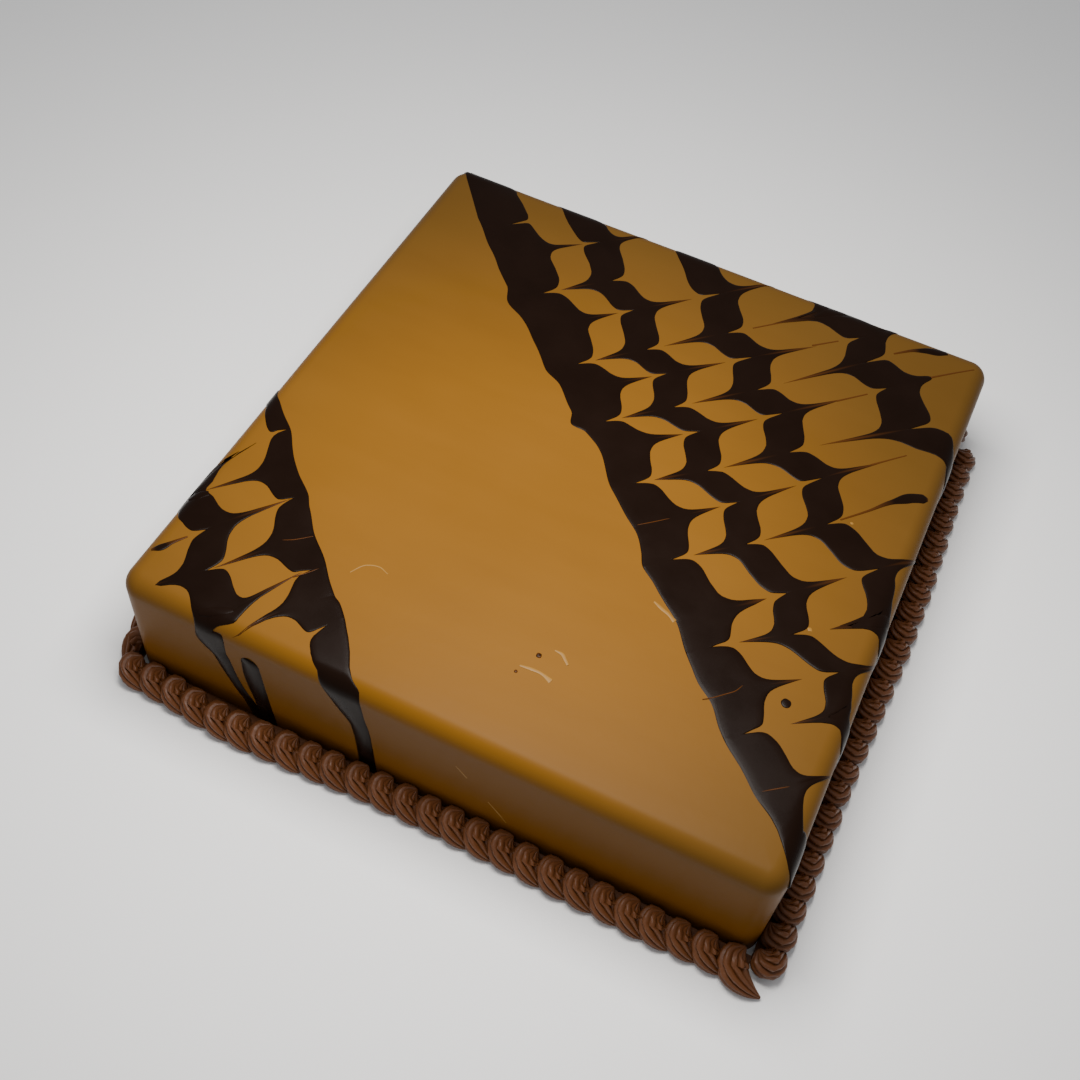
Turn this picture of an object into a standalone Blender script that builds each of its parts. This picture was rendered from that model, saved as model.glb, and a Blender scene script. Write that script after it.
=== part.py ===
"""Square opera cake: glazed body with drips on its sides and a piped shell border.

Metres, +Z up, resting on z = 0 with its centre at the origin. The front faces -Y.
The body with its drips is one solid, and each side's row of shells is one solid.
"""
import math

import bmesh
import bpy
import numpy as np
from mathutils import Vector

MM = 0.001

# Glazed body
LENGTH_X = 250.0 * MM
LENGTH_Y = 260.0 * MM
HEIGHT = 57.0 * MM
CORNER_RADIUS = 8.0 * MM
CORNER_STEPS = 6
EDGE_RADIUS = 7.0 * MM
EDGE_STEPS = 5

# Drips of the feathered stripes down the sides
DRIP_RELIEF = 1.1 * MM
DRIP_ROOT = 1.0 * MM
DRIP_ARCH_STEPS = 4
DRIP_TOP = 51.5 * MM
DRIP_FOOT = 12.4 * MM
DRIP_FULL_WIDTH = 6.0 * MM
DRIP_LEAST_WIDTH = 0.8 * MM
DRIP_END_SHARE = 0.35
DRIP_SHARES = (0.0, 0.05, 0.16, 0.32, 0.55, 0.8, 0.95, 1.0)

# Shell border
TOUCH_GAP = 0.3 * MM
CORNER_GAP = 0.2 * MM
CORNER_SLOPE = 0.746
FRONT_REACH = 14.6 * MM
FLANK_REACH = 14.6 * MM
BORDER_HEIGHT = 11.2 * MM
SHELLS_PER_SIDE = 26
SHELL_RADIUS = 6.2 * MM
SHELL_OUT = 6.1 * MM
SHELL_UP = 4.7 * MM
SHELL_BACK = 4.4 * MM
SHELL_TAIL = 9.6 * MM
SHELL_TURN = math.radians(33.0)
SHELL_FALL = math.radians(25.0)
SHELL_SHARES = (0.0, 0.28, 0.66, 1.0)
BLUNT_HEAD = 0.62
HEAD_SWELL = 1.25
TAIL_START = 0.34
TAIL_BEND = 1.5
TAIL_TIP = 0.1
SPINE_FLOOR = 0.9 * MM
SHELL_RIDGES = 5
RIDGE_STEP = math.radians(27.5)
FIRST_RIDGE = math.radians(-20.0)
GROOVE = 0.76
BED_WIDTH = 6.5 * MM
BED_WALL_HEIGHT = 5.5 * MM
BED_FRONT_HEIGHT = 3.5 * MM
SPACING_JITTER = 0.45 * MM
SIZE_JITTER = 0.035
TURN_JITTER = math.radians(3.0)
BORDER_SEED = 26

GLAZE = (0.36, 0.165, 0.032)
CREAM = (0.085, 0.033, 0.013)


def clear_scene():
    """Remove whatever the starting scene holds."""
    for old in list(bpy.data.objects):
        bpy.data.objects.remove(old, do_unlink=True)


def make_material(name, colour, roughness):
    """One plain Principled material."""
    material = bpy.data.materials.new(name)
    material.use_nodes = True
    shader = material.node_tree.nodes["Principled BSDF"]
    shader.inputs["Base Color"].default_value = (*colour, 1.0)
    shader.inputs["Roughness"].default_value = roughness
    shader.inputs["Metallic"].default_value = 0.0
    return material


def lofted_solid(name, rings, material):
    """Closed solid through rings of equally many points, with flat end faces."""
    mesh_data = bmesh.new()
    rows = [[mesh_data.verts.new(point) for point in ring] for ring in rings]
    count = len(rings[0])
    for lower, upper in zip(rows, rows[1:]):
        for index in range(count):
            after = (index + 1) % count
            mesh_data.faces.new((lower[index], lower[after], upper[after], upper[index]))
    mesh_data.faces.new(list(reversed(rows[0])))
    mesh_data.faces.new(rows[-1])
    bmesh.ops.recalc_face_normals(mesh_data, faces=mesh_data.faces)
    mesh = bpy.data.meshes.new(name)
    mesh_data.to_mesh(mesh)
    mesh_data.free()
    solid = bpy.data.objects.new(name, mesh)
    solid.data.materials.append(material)
    bpy.context.scene.collection.objects.link(solid)
    return solid


def apply_boolean(target, operation, operands):
    """Run one Boolean between the target and a collection, then drop the operands."""
    group = bpy.data.collections.new(target.name + "_operands")
    bpy.context.scene.collection.children.link(group)
    for operand in operands:
        bpy.context.scene.collection.objects.unlink(operand)
        group.objects.link(operand)
        operand.hide_render = True
        operand.display_type = "WIRE"
    modifier = target.modifiers.new("join", "BOOLEAN")
    modifier.operation = operation
    modifier.operand_type = "COLLECTION"
    modifier.collection = group
    modifier.solver = "EXACT"
    bpy.context.view_layer.objects.active = target
    bpy.ops.object.modifier_apply(modifier=modifier.name)
    for operand in operands:
        bpy.data.objects.remove(operand, do_unlink=True)
    bpy.data.collections.remove(group)


def body_ring(inset, height):
    """Rounded rectangle of the cake's plan, drawn in by an inset at a height."""
    radius = CORNER_RADIUS - inset
    half_x = LENGTH_X / 2 - CORNER_RADIUS
    half_y = LENGTH_Y / 2 - CORNER_RADIUS
    ring = []
    for corner, (side_x, side_y) in enumerate(((1, 1), (-1, 1), (-1, -1), (1, -1))):
        for step in range(CORNER_STEPS + 1):
            angle = (corner + step / CORNER_STEPS) * math.pi / 2
            across = side_x * half_x + radius * math.cos(angle)
            along = side_y * half_y + radius * math.sin(angle)
            ring.append(Vector((across, along, height)))
    return ring


def make_body(material):
    """Glazed block with upright sides and a rounded top edge."""
    rings = [body_ring(0.0, 0.0)]
    for step in range(EDGE_STEPS + 1):
        angle = step / EDGE_STEPS * math.pi / 2
        inset = EDGE_RADIUS * (1 - math.cos(angle))
        height = HEIGHT - EDGE_RADIUS * (1 - math.sin(angle))
        rings.append(body_ring(inset, height))
    return lofted_solid("cake", rings, material)


def side_frame(side):
    """Turn about Z and distance from the centre for front, right, back and left."""
    turn = side * math.pi / 2
    distance = LENGTH_Y / 2 if side % 2 == 0 else LENGTH_X / 2
    return turn, distance


def on_side(side, along, out, up):
    """Point given along a side, out from its wall and up from the floor."""
    turn, distance = side_frame(side)
    reach = distance + out
    x = math.cos(turn) * along + math.sin(turn) * reach
    y = math.sin(turn) * along - math.cos(turn) * reach
    return Vector((x, y, up))


def wall_offset(up):
    """How far the rounded top edge has drawn in from the wall at a height."""
    above = up - (HEIGHT - EDGE_RADIUS)
    if above <= 0:
        return 0.0
    return -EDGE_RADIUS + math.sqrt(max(EDGE_RADIUS ** 2 - above ** 2, 0.0))


def make_drip(name, side, stations, material):
    """Low rounded run of chocolate down a wall through (height, centre, width)."""
    rings = []
    for up, centre, width in stations:
        wall = wall_offset(up)
        relief = DRIP_RELIEF * min(1.0, width / DRIP_FULL_WIDTH)
        ring = []
        for step in range(DRIP_ARCH_STEPS + 1):
            angle = math.pi * step / DRIP_ARCH_STEPS
            along = centre - math.cos(angle) * width / 2
            ring.append(on_side(side, along, wall + relief * math.sin(angle), up))
        ring.append(on_side(side, centre + width / 2, wall - DRIP_ROOT, up))
        ring.append(on_side(side, centre - width / 2, wall - DRIP_ROOT, up))
        rings.append(ring)
    return lofted_solid(name, rings, material)


def rounded_drip(side, top, foot, centre, lean, width, head):
    """Drip with round ends: stations from its top down to its foot.

    The centre moves by the lean on the way down, and the head is its extra width
    at the top, where the stripe comes over the edge.
    """
    stations = []
    round_end = width / 2
    length = top - foot
    for share in DRIP_SHARES:
        down = share * length
        from_end = min(down, length - down)
        rounding = 1.0
        if from_end < round_end:
            rounding = math.sqrt(1 - (1 - from_end / round_end) ** 2)
        spread = head * (1 - share) ** 3
        wide = (width + spread) * max(rounding, DRIP_END_SHARE)
        wide = max(wide, DRIP_LEAST_WIDTH)
        middle = centre + lean * (1 - (1 - share) ** 2)
        stations.append((top - down, middle, wide))
    return side, stations


def drip_list():
    """Drips of every side: the front ones are seen, the others follow the stripes."""
    front = 0
    right = 1
    back = 2
    left = 3
    deep = DRIP_FOOT
    runs = [
        rounded_drip(front, DRIP_TOP, deep, -34.5 * MM, 9.0 * MM, 7.0 * MM, 9.0 * MM),
        rounded_drip(front, DRIP_TOP, deep, -87.5 * MM, 15.0 * MM, 5.2 * MM, 6.0 * MM),
        rounded_drip(front, 45.0 * MM, deep, -71.5 * MM, 3.0 * MM, 7.2 * MM, 0.0),
        rounded_drip(right, DRIP_TOP, deep, -114.0 * MM, -2.5 * MM, 6.0 * MM, 5.0 * MM),
        rounded_drip(right, DRIP_TOP, 24.0 * MM, -66.0 * MM, -4.0 * MM, 6.0 * MM, 5.0 * MM),
        rounded_drip(right, DRIP_TOP, 31.0 * MM, -22.0 * MM, -4.0 * MM, 6.0 * MM, 6.0 * MM),
        rounded_drip(right, DRIP_TOP, deep, 67.0 * MM, -5.0 * MM, 6.5 * MM, 7.0 * MM),
        rounded_drip(back, DRIP_TOP, 20.0 * MM, -49.0 * MM, 5.0 * MM, 7.0 * MM, 9.0 * MM),
        rounded_drip(back, DRIP_TOP, deep, 12.0 * MM, 5.0 * MM, 6.5 * MM, 7.0 * MM),
        rounded_drip(back, DRIP_TOP, 27.0 * MM, 71.0 * MM, 4.0 * MM, 5.5 * MM, 7.0 * MM),
        rounded_drip(back, DRIP_TOP, deep, 112.0 * MM, 3.0 * MM, 7.5 * MM, 7.0 * MM),
        rounded_drip(left, DRIP_TOP, deep, 29.0 * MM, -5.0 * MM, 6.0 * MM, 4.0 * MM),
        rounded_drip(left, DRIP_TOP, 26.0 * MM, 79.0 * MM, -4.0 * MM, 6.5 * MM, 7.0 * MM),
    ]
    return runs


def make_cake(material):
    """Body and drips joined into one solid."""
    body = make_body(material)
    drips = []
    for number, (side, stations) in enumerate(drip_list()):
        drips.append(make_drip("drip_" + str(number), side, stations, material))
    apply_boolean(body, "UNION", drips)
    return body


def shell_profile(share):
    """Thickness of a shell from its blunt head (0) to its pointed tail (1)."""
    head = min(1.0, BLUNT_HEAD + HEAD_SWELL * math.sqrt(share))
    drawn = max(share - TAIL_START, 0.0) / (1.0 - TAIL_START)
    return max(head * math.cos(drawn * TAIL_BEND), TAIL_TIP)


def make_shell(name, along, out, radius, turn, tail, material):
    """One piped shell: a star section drawn from a blunt head down to a tail.

    The strip's own axes are used: X along the wall, -Y away from it, Z up.
    """
    heading = Vector((math.cos(turn), -math.sin(turn), 0.0))
    axis = heading * math.cos(SHELL_FALL) - Vector((0.0, 0.0, math.sin(SHELL_FALL)))
    across = Vector((math.sin(turn), math.cos(turn), 0.0))
    over = across.cross(axis).normalized()
    if over.z < 0:
        over.negate()
    centre = Vector((along, -out, SHELL_UP))
    rings = []
    for share in SHELL_SHARES:
        travel = -SHELL_BACK + share * (SHELL_BACK + tail)
        middle = centre + axis * travel
        middle.z = max(middle.z, SPINE_FLOOR)
        ring = []
        for step in range(2 * SHELL_RIDGES - 1):
            angle = FIRST_RIDGE + step * RIDGE_STEP
            size = radius * shell_profile(share) * (1.0 if step % 2 == 0 else GROOVE)
            offset = across * math.cos(angle) * size + over * math.sin(angle) * size
            ring.append(middle + offset)
        ring.append(middle - over * radius * shell_profile(share))
        rings.append(ring)
    return lofted_solid(name, rings, material)


def make_bed(name, half, material):
    """Low strand of cream that fills in between the shells and the wall."""
    plan = (
        (0.0, -TOUCH_GAP),
        (BED_WIDTH, -TOUCH_GAP),
        (BED_WIDTH, BED_FRONT_HEIGHT),
        (0.0, BED_WALL_HEIGHT),
    )
    rings = [[Vector((along, -out, up)) for out, up in plan] for along in (-half, half)]
    return lofted_solid(name, rings, material)


def make_room(name, half, reach, material):
    """Prism that bounds one strip: wall, floor, reach and the slanted corner cuts.

    Each strip ends over the corner and the next one starts behind it, so the two
    cuts of a corner lie side by side with a gap between them.
    """
    near = TOUCH_GAP
    plan = (
        (-half - CORNER_SLOPE * near + CORNER_GAP, near),
        (-half - CORNER_SLOPE * reach + CORNER_GAP, reach),
        (half + FRONT_REACH, reach),
        (half + FRONT_REACH, CORNER_SLOPE * FRONT_REACH + CORNER_GAP),
        (half + (near - CORNER_GAP) / CORNER_SLOPE, near),
    )
    rings = [[Vector((along, -out, up)) for along, out in plan] for up in (0.0, BORDER_HEIGHT)]
    return lofted_solid(name, rings, material)


def bow_out(along, middle, spread, height):
    """Smooth bump by which a row of shells stands further out from the wall."""
    share = min(abs(along - middle) / spread, 1.0)
    return height * math.cos(math.pi / 2 * share) ** 2


def make_strip(name, side, row, material, random):
    """Row of shells along one side, joined and trimmed at the wall and the floor.

    The row gives where the first and last shells stand from the corners, the last
    one's turn, tail and shift off the wall, and the bumps in which the row bows out.
    """
    first, final, last_turn, last_tail, last_shift, bumps = row
    turn, distance = side_frame(side)
    half = (LENGTH_X if side % 2 == 0 else LENGTH_Y) / 2
    reach = FRONT_REACH if side % 2 == 0 else FLANK_REACH
    pitch = (2 * half - first - final) / (SHELLS_PER_SIDE - 1)
    shells = []
    for number in range(SHELLS_PER_SIDE):
        along = -half + first + number * pitch
        heading = last_turn
        tail = last_tail
        shift = last_shift
        radius = SHELL_RADIUS
        if number < SHELLS_PER_SIDE - 1:
            along += random.uniform(-1, 1) * SPACING_JITTER
            radius *= 1 + random.uniform(-1, 1) * SIZE_JITTER
            heading = SHELL_TURN + random.uniform(-1, 1) * TURN_JITTER
            tail = SHELL_TAIL
            shift = 0.0
        out = SHELL_OUT + shift + sum(bow_out(along, *bump) for bump in bumps)
        label = name + "_" + str(number)
        shells.append(make_shell(label, along, out, radius, heading, tail, material))
    shells.append(make_bed(name + "_bed", half, material))
    strip = shells[0]
    strip.name = name
    strip.data.name = name
    apply_boolean(strip, "UNION", shells[1:])
    room = make_room(name + "_room", half, reach, material)
    apply_boolean(strip, "INTERSECT", [room])
    strip.location = (math.sin(turn) * distance, -math.cos(turn) * distance, 0.0)
    strip.rotation_euler = (0.0, 0.0, turn)
    return strip


def border_rows():
    """The four strips in piping order, each ending over the start of the next."""
    usual = SHELL_TURN
    pointed = math.radians(24.0)
    tucked = math.radians(8.0)
    plain = SHELL_TAIL
    long = 14.0 * MM
    inward = -2.6 * MM
    front = (
        (-84.0 * MM, 34.0 * MM, 2.4 * MM),
        (-55.0 * MM, 40.0 * MM, 1.6 * MM),
        (80.0 * MM, 60.0 * MM, 1.2 * MM),
    )
    right = ((25.0 * MM, 95.0 * MM, 2.5 * MM),)
    back = ((60.0 * MM, 60.0 * MM, 2.7 * MM),)
    left = ((-20.0 * MM, 90.0 * MM, 2.5 * MM),)
    return (
        ("border_front", (3.4 * MM, 4.0 * MM, pointed, long, 0.0, front)),
        ("border_right", (0.5 * MM, 7.5 * MM, usual, plain, 0.0, right)),
        ("border_back", (3.4 * MM, 5.0 * MM, usual, plain, 0.0, back)),
        ("border_left", (3.4 * MM, 5.5 * MM, tucked, plain, inward, left)),
    )


def main():
    """Build the cake and its four border strips."""
    clear_scene()
    glaze = make_material("coffee_glaze", GLAZE, 0.3)
    cream = make_material("chocolate_cream", CREAM, 0.5)
    make_cake(glaze)
    random = np.random.default_rng(BORDER_SEED)
    for side, (name, row) in enumerate(border_rows()):
        make_strip(name, side, row, cream, random)


main()
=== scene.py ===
import math

import bmesh
import bpy
import numpy as np
from mathutils import Matrix, Vector


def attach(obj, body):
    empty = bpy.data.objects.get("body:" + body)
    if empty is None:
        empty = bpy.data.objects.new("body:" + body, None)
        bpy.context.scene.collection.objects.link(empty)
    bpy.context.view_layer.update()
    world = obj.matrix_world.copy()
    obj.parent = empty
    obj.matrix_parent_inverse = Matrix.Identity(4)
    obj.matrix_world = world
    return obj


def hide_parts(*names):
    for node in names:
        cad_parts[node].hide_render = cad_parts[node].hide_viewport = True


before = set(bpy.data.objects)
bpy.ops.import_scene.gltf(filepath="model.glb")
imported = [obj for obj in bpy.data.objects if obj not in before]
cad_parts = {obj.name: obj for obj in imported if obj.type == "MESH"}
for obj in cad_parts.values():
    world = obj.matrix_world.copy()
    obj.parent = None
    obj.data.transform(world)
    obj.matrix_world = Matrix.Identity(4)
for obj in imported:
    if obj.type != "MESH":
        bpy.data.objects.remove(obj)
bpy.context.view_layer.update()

MM = 0.001
ROOT_TWO = math.sqrt(2.0)
QUARTER = math.pi / 2

# Glazed cake, in millimetres
WALL_X = 125.0
WALL_Y = 130.0
GLAZE_TOP = 56.6
EDGE_RADIUS = 7.0
SHOULDER = GLAZE_TOP - EDGE_RADIUS
CORNER_RADIUS = 8.0
CORNER_FLAT = CORNER_RADIUS - EDGE_RADIUS
INNER_X = WALL_X - CORNER_RADIUS
INNER_Y = WALL_Y - CORNER_RADIUS
FLAT_X = WALL_X - EDGE_RADIUS
FLAT_Y = WALL_Y - EDGE_RADIUS
EDGE_ARC = QUARTER * EDGE_RADIUS
RIPPLE = 0.1
BEVEL_SEGMENTS = 10
# Planes that cut the block so that it takes the ripple: (normal, (first, end, step))
BODY_CUTS = (
    ((1.0, 0.0, 0.0), (-112.0, 113.0, 8.0)),
    ((0.0, 1.0, 0.0), (-116.0, 117.0, 8.0)),
    ((0.0, 0.0, 1.0), (6.0, 49.0, 7.0)),
)

# Feathered chocolate stripes, in millimetres: how far each kind stands off the glaze
STRIPE_LIFT = 0.27
STRIPE_ROOT = -0.45
DRIP_RELIEF = 0.95
THIN_RELIEF = 0.22
BLOT_LIFT = STRIPE_LIFT + 0.09
SMEAR_LIFT = 0.16
LINE_LIFT = 0.9
LINE_WIDTH = 0.5
LINE_END = 0.35
CORNER_LIFT = 0.4
HIGHEST = 56.98
# Where a stripe turns over the edge, and where its drips start, thin out and end
TURN_DEPTH = 5.0
SETTLE = 3.0
DRIP_TOP = 51.5
BORDER_CLEAR = 12.6
DRIP_BASE = 3.0
DRIP_SHARES = (0.0, 0.08, 0.2, 0.35, 0.55, 0.8, 1.0)
FOOT_STEPS = (3.6, 2.8, 2.0, 1.3, 0.8, 0.4, 0.15, 0.0)
# What a drag does to the edge that it leaves by (LEAD) or enters by (TIP): half the width
# of its spike, its shoulder, its bend, and its slope as (distance away, pull)
LEAD = (1.2, 9.0, 1.1, ((1.2, 9.0), (1.8, 6.3), (3.0, 3.6), (4.5, 2.1), (6.0, 1.1), (9.0, 0.3),
                        (12.0, 0.0)))
TIP = (0.9, 4.6, 1.0, ((0.9, 4.6), (1.8, 2.9), (3.0, 2.0), (4.5, 1.3), (6.0, 0.8), (9.0, 0.3),
                       (12.0, 0.0)))
SPIKE_BESIDE = 2.5
DRAG_WIDTH = 4.0
DRAG_MARGIN = 12
# Columns of points by their distance from a drag, and rows by their place across a stripe
NEAR_DRAG = (0.0, 0.16, 0.34, 0.55, 0.8, 1.1, 1.45, 1.9, 2.5, 3.3, 4.4, 5.8, 7.5)
KNOT_GAP = 0.3
ROW_EDGES = (0.0, 0.25, 0.6, 1.3)
ROW_MIDDLE = (0.2, 0.35, 0.5, 0.65, 0.8)
RUN_ROWS = (0.0, 0.05, 0.13, 0.25, 0.38, 0.5, 0.62, 0.75, 0.87, 0.95, 1.0)
RUN_HEAD = (0.0, 0.03, 0.1, 0.22, 0.4, 0.65, 1.0)
# Cross-sections as (share of the width, share of the height)
FLAT_SECTION = ((0.0, 0.0), (0.02, 0.55), (0.05, 0.85), (0.1, 1.0), (0.9, 1.0), (0.95, 0.85),
                (0.98, 0.55), (1.0, 0.0))
STROKE_SECTION = ((0.0, 0.0), (0.06, 0.55), (0.2, 0.9), (0.5, 1.0), (0.8, 0.9), (0.94, 0.55),
                  (1.0, 0.0))
STROKE_STEP = 0.7
SEARCH_ROUNDS = 8

# Sides of the cake
FRONT, RIGHT, BACK, LEFT = range(4)

# Piped border, in millimetres
BORDER_REACH = 14.6
BORDER_HEIGHT = 11.2
SHELLS_PER_SIDE = 26
SHELL_RADIUS = 5.8
SHELL_TAIL = 9.6
SHELL_TURN = 33.0
SHELL_RIDGES = 10
RIDGE_FLANK = 0.93
GROOVE = 0.68
BED_WIDTH = 7.0
BED_HEIGHT = 2.6
# How a shell swells along its length, from its peaked crown to its tail: (travel, size)
SHELL_SWELL = (
    (-1.5, 0.18), (-0.8, 0.38), (-0.1, 0.58), (0.7, 0.75), (1.7, 0.89), (3.0, 0.98), (4.5, 1.0),
    (6.1, 0.95), (7.7, 0.85), (9.3, 0.70), (10.9, 0.53), (12.3, 0.37), (13.5, 0.21), (14.4, 0.09),
)
CROWN_TIP = (-1.9, 0.07)
# How the middle of a shell runs: (travel, along the wall, out from it, up)
SHELL_COURSE = (
    (-2.4, 0.9, 0.9, 9.4), (0.0, -0.6, 2.2, 8.0), (2.0, -1.3, 3.3, 7.1), (4.5, -1.5, 5.2, 5.8),
    (7.0, -0.4, 7.0, 4.5), (9.5, 1.8, 8.4, 3.3), (12.0, 4.2, 9.3, 2.2), (14.4, 6.6, 9.8, 1.3),
)
SPACING_JITTER = 0.45
SIZE_JITTER = 0.035
TURN_JITTER = 3.0
BORDER_SEED = 26

# Camera at the photograph's angle: turn, rise and tilt in degrees, places in metres
CAMERA_ANGLES = (19.935, 53.69, 7.085)
CAMERA_TARGET = (-0.00829, -0.02512, 0.03)
CAMERA_DISTANCE = 0.53023
FOCAL_PIXELS = 1364.98
IMAGE_PIXELS = 1080.0
SENSOR_WIDTH = 36.0

# Studio
LIGHT_PLACE = (-0.01, -0.035, 0.38)
LIGHT_SIZE = 0.22
LIGHT_POWER = 3.2
LIGHT_COLOUR = (1.0, 0.97, 0.93)
SKY_COLOUR = (0.95, 0.97, 1.0, 1.0)
SKY_STRENGTH = 0.42
FLOOR_SIZE = 6.0
FLOOR_COLOUR = (0.86, 0.86, 0.86, 1.0)

# Colours of the finishes
COFFEE, LIGHT_COFFEE = (0.146, 0.062, 0.0070, 1.0), (0.174, 0.075, 0.0095, 1.0)
STREAK_TINT = (0.90, 0.89, 0.86, 1.0)
# Painted light: the foot of each wall is lightened, lifting the shade that falls there behind the
# border
FOOT_PAINTED_LIGHT_TINT = (1.9, 1.5, 1.9, 1.0)
# Painted shade: the top of the glaze darkens away from a point near its middle, as the overhead
# light falls off
RIM_PAINTED_SHADE_TINT = (0.57, 0.66, 1.10, 1.0)
# Painted shade: the walls below the rounded top edge are darkened, as they get less of the overhead
# light than the top
WALL_PAINTED_SHADE_TINT = (0.74, 0.70, 0.55, 1.0)
RIM_PAINTED_SHADE_CENTRE = (-0.02, -0.045, 0.05)
SMEAR, LIGHT_SMEAR = (0.175, 0.080, 0.008, 1.0), (0.225, 0.112, 0.018, 1.0)
CHOCOLATE, LIGHT_CHOCOLATE = (0.0046, 0.0020, 0.0011, 1.0), (0.0082, 0.0037, 0.0021, 1.0)
THIN_CHOCOLATE = (0.060, 0.020, 0.004, 1.0)
CREAM, LIGHT_CREAM = (0.090, 0.029, 0.0080, 1.0), (0.130, 0.046, 0.0150, 1.0)


# ---------------------------------------------------------------- small helpers

def deselect_all():
    """Nothing selected, so that an operator acts on the new piece alone."""
    if bpy.context.object and bpy.context.object.mode != "OBJECT":
        bpy.ops.object.mode_set(mode="OBJECT")
    bpy.ops.object.select_all(action="DESELECT")


def take_up(piece):
    """Select one piece and make it active."""
    deselect_all()
    piece.select_set(True)
    bpy.context.view_layer.objects.active = piece


def settle(piece):
    """Put the piece's place, turn and size into its mesh."""
    take_up(piece)
    bpy.ops.object.transform_apply(location=True, rotation=True, scale=True)


def smooth_piece(piece, degrees):
    """Smooth shading that keeps edges sharper than an angle."""
    take_up(piece)
    bpy.ops.object.shade_smooth_by_angle(angle=math.radians(degrees))


def smooth_curve(knots, value):
    """Height of a smooth curve through (place, height) knots, level past its ends."""
    places, heights = (np.array(part, float) for part in zip(*knots))
    value = np.asarray(value, float)
    gaps = np.diff(places)
    secants = np.diff(heights) / gaps
    slopes = np.zeros(len(places))
    slopes[0], slopes[-1] = secants[0], secants[-1]
    for index in range(1, len(places) - 1):
        before, after = secants[index - 1], secants[index]
        if before * after > 0:
            slopes[index] = 2 * before * after / (before + after)
    where = np.clip(np.searchsorted(places, value) - 1, 0, len(gaps) - 1)
    gap = gaps[where]
    share = np.clip((value - places[where]) / gap, 0.0, 1.0)
    square, cube = share ** 2, share ** 3
    return (
        (2 * cube - 3 * square + 1) * heights[where]
        + (cube - 2 * square + share) * gap * slopes[where]
        + (3 * square - 2 * cube) * heights[where + 1]
        + (cube - square) * gap * slopes[where + 1]
    )


def ease(share):
    """Smooth step from 0 to 1."""
    share = np.clip(share, 0.0, 1.0)
    return share * share * (3 - 2 * share)


# ---------------------------------------------------------------- glaze surface

def glaze_ripple(x, y, z):
    """Slight unevenness of the poured glaze."""
    wave = np.sin(x / 31.0 + 0.6) * np.cos(y / 27.0 - 0.4)
    wave = wave + 0.6 * np.sin((x + y) / 19.0 + 1.3) + 0.5 * np.cos(z / 9.0 + x / 23.0)
    return RIPPLE * wave / 2.1


def over_glaze(x, y, lift):
    """Points on the glaze for places on its unrolled top, lifted off it.

    Past the flat top the surface rolls over the rounded edge and runs down the wall.
    """
    past_x = np.maximum(np.abs(x) - INNER_X, 0.0)
    past_y = np.maximum(np.abs(y) - INNER_Y, 0.0)
    reach = np.hypot(past_x, past_y)
    safe = np.where(reach > 0, reach, 1.0)
    toward_x = np.sign(x) * past_x / safe
    toward_y = np.sign(y) * past_y / safe
    depth = np.maximum(reach - CORNER_FLAT, 0.0)
    angle = np.minimum(depth / EDGE_RADIUS, QUARTER)
    out = np.minimum(reach, CORNER_FLAT) + EDGE_RADIUS * np.sin(angle)
    base_x = np.clip(x, -INNER_X, INNER_X) + toward_x * out
    base_y = np.clip(y, -INNER_Y, INNER_Y) + toward_y * out
    base_z = SHOULDER + EDGE_RADIUS * np.cos(angle) - np.maximum(depth - EDGE_ARC, 0.0)
    raised = lift + glaze_ripple(base_x, base_y, base_z)
    return np.stack(
        (
            base_x + toward_x * np.sin(angle) * raised,
            base_y + toward_y * np.sin(angle) * raised,
            np.minimum(base_z + np.cos(angle) * raised, HIGHEST),
        ),
        axis=-1,
    )


def select_edges(piece, test):
    """Select the edges of a piece in edit mode whose two ends pass a test."""
    bpy.ops.mesh.select_all(action="DESELECT")
    mesh = bmesh.from_edit_mesh(piece.data)
    for edge in mesh.edges:
        if test(edge.verts[0].co, edge.verts[1].co):
            edge.select_set(True)
    bmesh.update_edit_mesh(piece.data)


def cut_across(normal, places):
    """Cut the whole mesh that is in edit mode by planes across a direction."""
    for place in places:
        bpy.ops.mesh.select_all(action="SELECT")
        bpy.ops.mesh.bisect(plane_co=tuple(place * MM * part for part in normal), plane_no=normal)


def make_glazed_body():
    """Cake body: a block with rounded corners and a rolled top edge, slightly uneven."""
    deselect_all()
    height = GLAZE_TOP * MM
    bpy.ops.mesh.primitive_cube_add(size=1.0, location=(0.0, 0.0, height / 2))
    body = bpy.context.object
    body.name = "glazed_body"
    body.scale = (2 * WALL_X * MM, 2 * WALL_Y * MM, height)
    settle(body)
    bpy.ops.object.mode_set(mode="EDIT")
    bpy.ops.mesh.select_mode(type="EDGE")
    select_edges(body, lambda a, b: abs(a.z - b.z) > height / 2)
    bpy.ops.mesh.bevel(offset=CORNER_RADIUS * MM, segments=BEVEL_SEGMENTS, profile=0.5)
    select_edges(body, lambda a, b: min(a.z, b.z) > height - MM)
    bpy.ops.mesh.bevel(offset=EDGE_RADIUS * MM, segments=BEVEL_SEGMENTS, profile=0.5)
    for normal, places in BODY_CUTS:
        cut_across(normal, np.arange(*places))
    bpy.ops.object.mode_set(mode="OBJECT")
    for vertex in body.data.vertices:
        if vertex.co.z > MM:
            push = float(glaze_ripple(*(vertex.co / MM))) * MM
            vertex.co += vertex.normal * push
    smooth_piece(body, 40.0)
    return body


# ---------------------------------------------------------------- stripes and drags

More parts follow.
